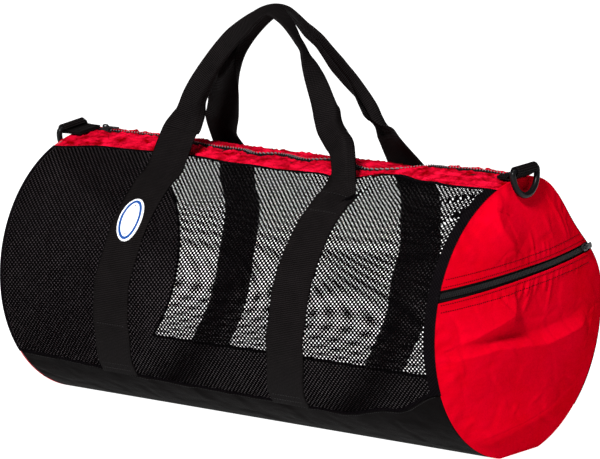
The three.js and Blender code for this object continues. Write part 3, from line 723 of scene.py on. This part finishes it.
def hem_piece(name, low, high, inner, widths, lift):
    """The doubled edges of a net wall: the inner lines along it, and the widths at its left and right."""
    edge = HALF_LENGTH + 0.5
    left, right = widths

    def over(x, turn):
        return lift(x, turn) + 0.1

    strips = (
        (low, inner[0], 150, 3, (-edge, edge)),
        (inner[1], high, 150, 3, (-edge, edge)),
        (low, high, 3, 90, (-edge, -edge + left)),
        (low, high, 3, 90, (edge - right, edge)),
    )
    whole = bmesh.new()
    for start, stop, columns, rows, ends in strips:
        strip = tube_sheet(name, start, stop, columns, rows, over, ends)
        whole.from_mesh(strip)
        bpy.data.meshes.remove(strip)
    mesh = mesh_of(name, whole)
    return finished(name, mesh, [NET_HEM])


def build_nets():
    front = (seam(FRONT_HEM), seam(FRONT_PLACKET, -GAP))
    back = (seam(BACK_PLACKET, GAP), seam(BACK_HEM))
    front_inner = (seam(FRONT_HEM, 5), seam(FRONT_PLACKET, -5))
    back_inner = (seam(BACK_PLACKET, 11), seam(BACK_HEM, -5))
    net_front = net_piece("net_front", *front, "mesh_front", net_lift, *FRONT_HOLES)
    net_back = net_piece("net_back", *back, "mesh_back", back_net_lift, *BACK_HOLES)
    front_hems = hem_piece("net_front_hems", *front, front_inner, (5, 14), net_lift)
    back_hems = hem_piece("net_back_hems", *back, back_inner, (5, 12), back_net_lift)


def build_walls():
    def below_back_hem(x):
        return eased(BACK_HEM, x) - 360 + GAP / ROUND

    reach = (-HALF_LENGTH - 0.8, PANEL_END)
    bottom = tube_sheet("bottom", below_back_hem, seam(FRONT_HEM, -GAP), 200, 70, bottom_lift, reach)
    bottom = finished("bottom_cloth", bottom, [BLACK, BLACK_INSIDE], ["bottom_panel"])
    thicken(bottom, CLOTH, inner_slot=1)
    edge = MAIN_OPENING / 2
    front_strip = tube_sheet("placket", seam(FRONT_PLACKET), seam(ZIP_LINE, -edge), 480, 34, placket_lift)
    front_strip = finished("placket_front_cloth", front_strip, [RED_CREASE_SHADED], ["placket_front"])
    back_strip = tube_sheet("placket", seam(ZIP_LINE, edge), seam(BACK_PLACKET), 420, 28, placket_lift)
    back_strip = finished("placket_back_cloth", back_strip, [RED_CREASE_SHADED], ["placket_back"])
    thicken(front_strip, CLOTH)
    thicken(back_strip, CLOTH)


def tube_line(line, ends, lift):
    x = np.linspace(*ends, 400)
    turn = line(x)
    return skin(x, turn, lift(x, turn) + 0.15), outward(x, turn)


def build_tube_stitches():
    def hem_lift(x, turn):
        return bottom_lift(x, np.where(turn > 180, turn - 360, turn)) + 0.1

    ends = (-300, 300)
    edge = MAIN_OPENING / 2
    rows = [seam(FRONT_PLACKET, inset) for inset in (2.2, 6.5)]
    rows += [seam(ZIP_LINE, side * (edge + inset)) for side in (-1, 1) for inset in (2.0, 7.5)]
    rows += [seam(BACK_PLACKET, -inset) for inset in (2.2, 6.5)]
    stitched("placket_stitches", [tube_line(row, ends, placket_lift) for row in rows], RED_THREAD)
    hems = (seam(FRONT_HEM, -3.0), seam(BACK_HEM, 3.0))
    stitched("hem_stitches", [tube_line(row, ends, hem_lift) for row in hems], BLACK_THREAD)


# Main zip. A tooth's length, width, height and bevel, and how the teeth lean across the tapes
MAIN_TOOTH, MAIN_TOOTH_PITCH, MAIN_TOOTH_LEAN = (1.1, 5.4, 1.4, 0.3), 3.7, math.radians(34)


def main_tape_lift(x, turn):
    """The tapes come up to the teeth from under the plackets."""
    return -0.5 - 1.3 * smooth(4, 7.5, np.abs(turn - eased(ZIP_LINE, x)) * ROUND)


def build_main_zip():
    chain = MAIN_CHAIN / 2
    for side, node in ((-1, "zip_tape_front"), (1, "zip_tape_back")):
        near, far = seam(ZIP_LINE, side * 0.2), seam(ZIP_LINE, side * (chain + MAIN_TAPE))
        low, high = (far, near) if side < 0 else (near, far)
        tape = tube_sheet(node, low, high, 240, 8, main_tape_lift)
        tape = thicken(finished(f"{node}_cloth", tape, [TAPE], [node]), TAPE_THICK)
    x = np.arange(MAIN_SLIDER_X + SLIDER_HALF + 1.5, HALF_LENGTH - TAB_TAIL - 1.5, MAIN_TOOTH_PITCH)
    turn = eased(ZIP_LINE, x)
    axes = frames_along(skin(x, turn), outward(x, turn))
    cos, sin = math.cos(MAIN_TOOTH_LEAN), math.sin(MAIN_TOOTH_LEAN)
    lean = np.array([[cos, sin, 0], [-sin, cos, 0], [0, 0, 1]])
    tooth = block_template(*MAIN_TOOTH)
    repeated("zip_teeth", tooth, skin(x, turn, 0.45), lean @ axes, TEETH_PAINTED_HIGHLIGHT, ["zip_chain"], False)


# Ends and pocket
def towards_ends(share):
    return 0.5 - 0.5 * np.cos(np.pi * share)


def rim_arc(side, start, stop):
    return lambda share: rim(side, start + (stop - start) * share)


def rim_chord(front, back):
    start, stop = rim(1, front), rim(1, back)
    return lambda share: start + (stop - start) * towards_ends(share)[:, None]


def pocket_line(offset, inset):
    """A line beside the pocket zip, which stops `inset` short of the rim at the back."""

    def line(share):
        start = POCKET_FRONT[0] - 0.6 + 0.55 * max(offset, 0)
        y = start + (POCKET_BACK[0] - inset - start) * towards_ends(share)
        return np.stack([y, pocket_z(y) + offset], 1)

    return line


def end_sheet(name, side, low, high, columns, rows, lift):
    def shape(along, across):
        start, stop = low(along), high(along)
        y, z = (start + (stop - start) * across[:, None]).T
        return end_point(side, y, z, lift(y, z)), np.stack([y, z], 1)

    return sheet_mesh(name, columns, rows, shape)


def build_ends():
    notch, slit = 0.6, POCKET_OPENING / 2 / ROUND
    front, back = POCKET_TURNS
    right_lift = partial(end_lift, 1)
    left = end_sheet(
        "left", -1, rim_arc(-1, 180 + notch, 360 - notch),
        rim_arc(-1, 180 - notch, notch), 150, 130, partial(end_lift, -1),
    )
    upper = end_sheet(
        "upper", 1, rim_chord(front + slit, back - slit),
        rim_arc(1, front + slit + notch, back - slit - notch), 190, 100, right_lift,
    )
    lower = end_sheet(
        "lower", 1, rim_arc(1, front - slit - notch, back + slit + notch - 360),
        rim_chord(front - slit, back + slit), 190, 150, right_lift,
    )
    for name, mesh, node, flat, area in (
        ("left_end_cloth", left, "end_panel_left", (0.32, 0.306), 0.077),
        ("right_end_cloth", upper, "end_panel_right", (0.30, 0.097), 0.0208),
        ("pocket_cloth", lower, "pocket_panel", (0.32, 0.205), 0.0542),
    ):
        piece = finished(name, mesh, [RED, RED_INSIDE], [node])
        thicken(piece, CLOTH, inner_slot=1)


def end_line(offset, inset):
    y, z = pocket_line(offset, inset)(np.linspace(0, 1, 200)).T
    points = end_point(1, y, z, end_lift(1, y, z) + 0.15)
    normals = np.tile([0.97, 0.0, 0.2], (len(y), 1))
    return points, normals


# The pocket zip's teeth: length, width, height and bevel of one, pitch on each side, distance off the middle
POCKET_TOOTH, POCKET_TOOTH_PITCH, POCKET_TOOTH_OFF = (1.35, 3.4, 2.4, 0.35), 2.6, 1.3


def build_pocket_zip():
    chain = POCKET_CHAIN / 2
    tapes = (
        ("pocket_tape_upper", (0.15, POCKET_INSET), (chain + POCKET_TAPE, POCKET_FAR_INSET)),
        ("pocket_tape_lower", (-chain - POCKET_TAPE, POCKET_INSET), (-0.15, POCKET_INSET)),
    )
    for node, low, high in tapes:
        tape = end_sheet(node, 1, pocket_line(*low), pocket_line(*high), 90, 6, lambda y, z: TAPE_LIFT)
        tape = thicken(finished(f"{node}_cloth", tape, [TAPE], [node]), TAPE_THICK)
    stop = POCKET_BACK[0] - POCKET_INSET - 2 * POCKET_SLIDER_HALF - 1
    y = np.arange(POCKET_FRONT[0] + 3, stop, POCKET_TOOTH_PITCH / 2)
    side = np.where(np.arange(len(y)) % 2 == 0, -1, 1)
    middle = end_point(1, y, pocket_z(y), TAPE_LIFT)
    rise = end_point(1, y, pocket_z(y) + 1, TAPE_LIFT) - middle
    axes = frames_along(middle, unit(np.cross(np.gradient(middle, axis=0), rise)))
    places = end_point(1, y, pocket_z(y) + side * POCKET_TOOTH_OFF, TAPE_LIFT + 0.1)
    tooth = block_template(*POCKET_TOOTH)
    repeated("pocket_teeth", tooth, places, axes, DARK_TEETH, ["pocket_chain"], False)
    near, far = POCKET_OPENING / 2 + 1.8, POCKET_OPENING / 2 + 9.5
    rows = ((near, 8), (far, 20), (-near, 6), (-far, 6))
    lines = [end_line(offset, inset) for offset, inset in rows]
    stitched("pocket_stitches", lines, DARK_THREAD, pitch=3.2, length=2.6, width=0.85)


# Tabs and D-rings
def end_frame(side, turn):
    """A point on an end's rim, and its x, y and z directions."""
    x = side * HALF_LENGTH
    up = outward(np.array(x - side * TAB_TAIL), np.array(turn))
    across = unit(np.cross(up, [side, 0, 0]))
    return skin(x, turn), np.stack([np.cross(across, up), across, up])


def tab_path(bar_out, bar_up):
    """The middle of the webbing, from its lower tail round the ring's bar to its upper tail."""
    reach = RING_WIRE + RING_CLEAR + WEB_THICK / 2
    angle = np.radians(np.linspace(-62, 190, 40))
    loop = np.stack([bar_out + reach * np.cos(angle), bar_up + reach * np.sin(angle)], 1)
    low, high = GAP + WEB_THICK / 2, GAP + 1.5 * WEB_THICK
    start = [(-TAB_TAIL, low), (-10, low), (-4, low), (1, low)]
    stop = [(-3.5, high + 0.1), (-8, high), (-12, high), (-TAB_TAIL, high)]
    return np.concatenate([start, loop, stop])


def build_tab(name, side, turn, bar_out, bar_up):
    origin, axes = end_frame(side, turn)
    path = tab_path(bar_out, bar_up)
    run = lengths_along(path)

    def shape(along, across):
        at = np.rint(along * (len(path) - 1)).astype(int)
        width = (across - 0.5) * TAB_WIDTH
        local = np.stack([path[at, 0], width, path[at, 1]], 1)
        return origin + local @ axes, np.stack([run[at], width], 1)

    mesh = sheet_mesh(f"tab_{name}", len(path) - 1, 12, shape)
    piece = finished(f"tab_{name}_webbing", mesh, [WEBBING], [f"tab_{name}"])
    thicken(piece, WEB_THICK - 0.1, 0.0)
    rows = []
    width = np.linspace(-15.5, 15.5, 30)
    top = np.full_like(width, GAP + 2 * WEB_THICK + 0.05)
    for way, inset in ((1, 5.5), (-1, 12.5)):
        local = np.stack([np.full_like(width, -inset), way * width, top], 1)
        rows.append((origin + local @ axes, np.tile(axes[2], (len(width), 1))))
    stitched(f"tab_{name}_stitches", rows, BLACK_THREAD)


def build_ring(name, side, turn, bar_out, bar_up):
    origin, axes = end_frame(side, turn)
    half, corner, depth, lean = 19.3, 3.5, 28.0, math.radians(8)
    bend = np.radians(np.linspace(90, 0, 7))
    bow = np.radians(np.linspace(0, -180, 41))[1:-1]
    outline = np.concatenate([
        np.stack([np.linspace(-half, half, 9)[:-1], np.zeros(8)], 1),
        np.stack([half + corner * np.cos(bend), -corner + corner * np.sin(bend)], 1),
        np.stack([(half + corner) * np.cos(bow), -corner + (depth - corner) * np.sin(bow)], 1),
        np.stack([-half - corner * np.cos(bend[::-1]), -corner + corner * np.sin(bend[::-1])], 1)[:-1],
    ])
    local = np.stack([
        bar_out - math.sin(lean) * outline[:, 1], outline[:, 0], bar_up + math.cos(lean) * outline[:, 1],
    ], 1)
    curve = bpy.data.curves.new(f"ring_{name}", "CURVE")
    curve.dimensions = "3D"
    curve.bevel_depth = RING_WIRE * MM
    curve.bevel_resolution = 4
    wire = curve.splines.new("POLY")
    wire.points.add(len(local) - 1)
    world = (origin + local @ axes) * MM
    wire.points.foreach_set("co", np.column_stack([world, np.ones(len(world))]).ravel())
    wire.use_cyclic_u = True
    drawn = placed(f"ring_{name}", curve)
    mesh = bpy.data.meshes.new_from_object(drawn.evaluated_get(bpy.context.evaluated_depsgraph_get()))
    bpy.data.objects.remove(drawn)
    mesh.materials.clear()
    finished(f"ring_{name}_wire", mesh, [RING], [f"d_ring_{name}"], body=f"{name}_ring")


# Handles: where the edges fold in, the crease's half width and how much wider it opens, degrees to a section
FOLD_LINE, FOLDED_CREASE, CREASE_OPENS, SECTION_TURN = 12.5, 1.75, 4, 7
HALF_ACROSS = np.array([0, 4, 8, 10.75, 11.3, 11.9, 12.5, 13.1, 13.7, 14.25, 17, 21, 24.8])
ACROSS = np.concatenate([-HALF_ACROSS[:0:-1], HALF_ACROSS])


def strap_sections(rows, spread, sign):
    first, last = rows[0][0], rows[-1][0]
    turns = np.linspace(first, last, int(round(abs(last - first) / SECTION_TURN)) + 1)
    lift = STRAP_LIFT + WEB_THICK / 2
    return [
        skin(eased(rows, turn) + sign * eased(spread, turn) * ACROSS, np.full(len(ACROSS), turn), lift)
        for turn in turns
    ]


def spline(stops, place):
    """A point on a smooth line through stops, in the way of their spacing."""
    row = min(int(place), len(stops) - 2)
    share = place - row
    p1, p2 = stops[row], stops[row + 1]
    p0 = stops[row - 1] if row > 0 else 2 * p1 - p2
    p3 = stops[row + 2] if row + 2 < len(stops) else 2 * p2 - p1
    d0, d1, d2 = (math.sqrt(np.linalg.norm(b - a)) for a, b in ((p0, p1), (p1, p2), (p2, p3)))
    leave = d1 * ((p1 - p0) / d0 - (p2 - p0) / (d0 + d1) + (p2 - p1) / d1)
    arrive = d1 * ((p2 - p1) / d1 - (p3 - p1) / (d1 + d2) + (p3 - p2) / d2)
    return cubic(p1, p2, leave, arrive, share)


def turned(vector, axis, angle):
    spun = np.cross(axis, vector)
    return vector * math.cos(angle) + spun * math.sin(angle) + axis * (axis @ vector) * (1 - math.cos(angle))


def loop_section(point, run, face, twist, fold):
    """One section of the webbing: `fold` turns both its edges in behind its middle."""
    width = turned(unit(np.cross(run, face)), run, math.radians(twist))
    out = np.cross(width, run)
    crease = FOLDED_CREASE + (1 - fold) * CREASE_OPENS
    fine = np.linspace(0, HALF_WEB, 501)
    angle = math.pi * fold * np.clip((fine - FOLD_LINE + crease) / (2 * crease), 0, 1)
    side = np.cumsum(np.cos(angle)) * fine[1]
    depth = np.cumsum(np.sin(angle)) * fine[1]
    bends = (0, FOLD_LINE - FOLDED_CREASE, FOLD_LINE + FOLDED_CREASE, HALF_WEB)
    place = np.interp(np.abs(ACROSS), bends, (0, FOLD_LINE - crease, FOLD_LINE + crease, HALF_WEB))
    side = np.sign(ACROSS) * np.interp(place, fine, side)
    depth = np.interp(place, fine, depth)
    return point + side[:, None] * width - depth[:, None] * out


def loop_sections(rows, start, end, face):
    middle = len(ACROSS) // 2
    ends = [start[-2][middle], start[-1][middle], end[0][middle], end[1][middle]]
    stops = np.array([*ends[:2], *(row[:3] for row in rows), *ends[2:]], float)
    sections = []
    for place in np.arange(2, len(rows) + 1.01, 0.5):
        run = unit(spline(stops, place + 0.01) - spline(stops, place - 0.01))
        low, high = rows[int(place) - 2], rows[min(math.ceil(place), len(rows) + 1) - 2]
        twist, fold = (low[k] + (high[k] - low[k]) * (place % 1) for k in (3, 4))
        sections.append(loop_section(spline(stops, place), run, face, twist, fold))
    return sections


def drawn_smooth(sections, steps):
    """More sections between the ones given, on smooth lines through their points."""
    keys = np.array(sections)
    padded = np.concatenate([[2 * keys[0] - keys[1]], keys, [2 * keys[-1] - keys[-2]]])
    made = []
    for i in range(len(keys) - 1):
        p0, p1, p2, p3 = padded[i:i + 4]
        for share in np.arange(steps) / steps:
            made.append(cubic(p1, p2, (p2 - p0) / 2, (p3 - p1) / 2, share))
    return np.array([*made, keys[-1]])


def build_handle(name, left_strap, right_strap, loop_rows, facing):
    left = strap_sections(*left_strap, -facing)
    right = strap_sections(right_strap[0][::-1], right_strap[1], facing)
    loop = loop_sections(loop_rows, left, right, np.array([0.0, facing, 0.0]))
    sections = drawn_smooth([*left, *loop, *right], 6)
    middle = sections[:, len(ACROSS) // 2]
    run = lengths_along(middle)

    def shape(along, across):
        i = np.rint(along * (len(sections) - 1)).astype(int)
        j = np.rint(across * (len(ACROSS) - 1)).astype(int)
        return sections[i, j], np.stack([run[i], ACROSS[j]], 1)

    mesh = sheet_mesh(name, len(sections) - 1, len(ACROSS) - 1, shape)
    piece = finished(f"{name}_webbing", mesh, [WEBBING_PAINTED_LIGHT_INSIDE, WEBBING], [name])
    return thicken(piece, WEB_THICK - 0.1, 0.0, inner_slot=1, edge_slot=1)


def strap_row(rows, spread, turn):
    x = eased(rows, turn) + eased(spread, turn) * np.linspace(-22, 22, 40)
    turns = np.full(40, turn)
    return skin(x, turns, STRAP_LIFT + WEB_THICK + 0.1), outward(x, turns)


def build_strap_stitches():
    rows = []
    for strap, turns in (
        (FRONT_LEFT, (-37, -34, -13.5)), (FRONT_RIGHT, (-39.5, -36.5, 47, 57)),
        (BACK_LEFT, (224, 221, 128)), (BACK_RIGHT, (224, 221, 128)),
    ):
        rows += [strap_row(*strap, turn) for turn in turns]
    stitched("strap_stitches", rows, BLACK_THREAD)


# Label
LABEL_X, LABEL_TURN, LABEL_HALF_WIDTH, LABEL_HALF_HEIGHT, LABEL_THICK = -128.0, 31.7, 16.0, 26.5, 1.2


def build_label():
    """A bare oval patch with one plain line round it, sewn on the front left strap."""
    maker = bmesh.new()
    bmesh.ops.create_circle(maker, cap_ends=True, segments=64, radius=1.0)
    bmesh.ops.scale(maker, vec=(LABEL_HALF_WIDTH, LABEL_HALF_HEIGHT, 1.0), verts=maker.verts)
    made = bmesh.ops.extrude_face_region(maker, geom=maker.faces[:])
    top = [item for item in made["geom"] if isinstance(item, bmesh.types.BMFace)]
    bmesh.ops.translate(maker, vec=(0, 0, LABEL_THICK), verts=[v for face in top for v in face.verts])
    bmesh.ops.inset_region(maker, faces=top, thickness=0.5, depth=0.35)
    bmesh.ops.inset_region(maker, faces=top, thickness=1.7)
    line = bmesh.ops.inset_region(maker, faces=top, thickness=3.4)["faces"]
    for face in line:
        face.material_index = 1
    for _ in range(3):
        bmesh.ops.inset_region(maker, faces=top, thickness=2.6)
    bmesh.ops.recalc_face_normals(maker, faces=maker.faces[:])
    mesh = mesh_of("label", maker)
    flat = np.array([v.co[:] for v in mesh.vertices])
    base = STRAP_LIFT + WEB_THICK + GAP
    points = skin(LABEL_X + flat[:, 0], LABEL_TURN + flat[:, 1] / ROUND, base + flat[:, 2])
    bend(mesh, points, flat[:, :2])
    finished("label_cloth", mesh, [PATCH, PATCH_LINE], ["label_patch"])


# Sliders and pulls keep their solids, with softened edges
def soften(node, finish, edge):
    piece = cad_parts[node]
    piece.data.materials.clear()
    piece.data.materials.append(finish)
    weld = piece.modifiers.new("weld", "WELD")
    weld.merge_threshold = 0.00002
    bevel = piece.modifiers.new("edges", "BEVEL")
    bevel.width = edge * MM
    bevel.segments = 2
    bevel.limit_method = "ANGLE"
    bevel.angle_limit = math.radians(40)


# Camera, floor and light
CAMERA_PLACE = (2.6165, -3.4038, 0.9703)
CAMERA_AZIMUTH, CAMERA_ELEVATION, CAMERA_LENS = 37.501, 9.991, 232.32


def pointing(back):
    """The rotation of a camera or lamp whose back faces this way."""
    return (-back).to_track_quat("-Z", "Y")


def build_camera():
    data = bpy.data.cameras.new("photo_camera")
    data.lens = CAMERA_LENS
    data.sensor_width = 36.0
    data.clip_end = 100.0
    camera = placed("photo_camera", data)
    azimuth, elevation = math.radians(CAMERA_AZIMUTH), math.radians(CAMERA_ELEVATION)
    flat = math.cos(elevation)
    back = Vector((math.sin(azimuth) * flat, -math.cos(azimuth) * flat, math.sin(elevation)))
    camera.location = CAMERA_PLACE
    camera.rotation_mode = "QUATERNION"
    camera.rotation_quaternion = pointing(back)
    bpy.context.scene.camera = camera


def softbox(name, place, target, size, power):
    data = bpy.data.lights.new(name, "AREA")
    data.shape = "DISK"
    data.size = size
    data.energy = power
    lamp = placed(name, data)
    lamp.location = place
    lamp.rotation_mode = "QUATERNION"
    lamp.rotation_quaternion = pointing(Vector(place) - Vector(target))


def build_stage():
    maker = bmesh.new()
    bmesh.ops.create_grid(maker, x_segments=1, y_segments=1, size=30.0)
    mesh = mesh_of("floor", maker)
    mesh.materials.append(floor_finish())
    placed("floor", mesh)
    world = bpy.data.worlds.new("studio")
    world.use_nodes = True
    background = world.node_tree.nodes["Background"]
    background.inputs["Color"].default_value = (1.0, 1.0, 1.0, 1)
    background.inputs["Strength"].default_value = 0.05
    bpy.context.scene.world = world
    bpy.context.scene.view_settings.view_transform = "Standard"
    middle = (0.0, 0.0, 0.16)
    softbox("key", (1.05, -2.75, 2.6), middle, 0.6, 310)
    softbox("top", (0.0, 0.4, 3.4), middle, 1.6, 30)


build_camera()
build_stage()
build_nets()
build_walls()
build_tube_stitches()
build_main_zip()
build_ends()
build_pocket_zip()
for end in ENDS:
    build_tab(*end)
    build_ring(*end)
build_handle("handle_front", FRONT_LEFT, FRONT_RIGHT, FRONT_LOOP, -1)
build_handle("handle_back", BACK_LEFT, BACK_RIGHT, BACK_LOOP, 1)
build_strap_stitches()
build_label()
for node in ("zip_slider", "zip_pull", "pocket_slider", "pocket_pull"):
    soften(node, METAL, 0.35)
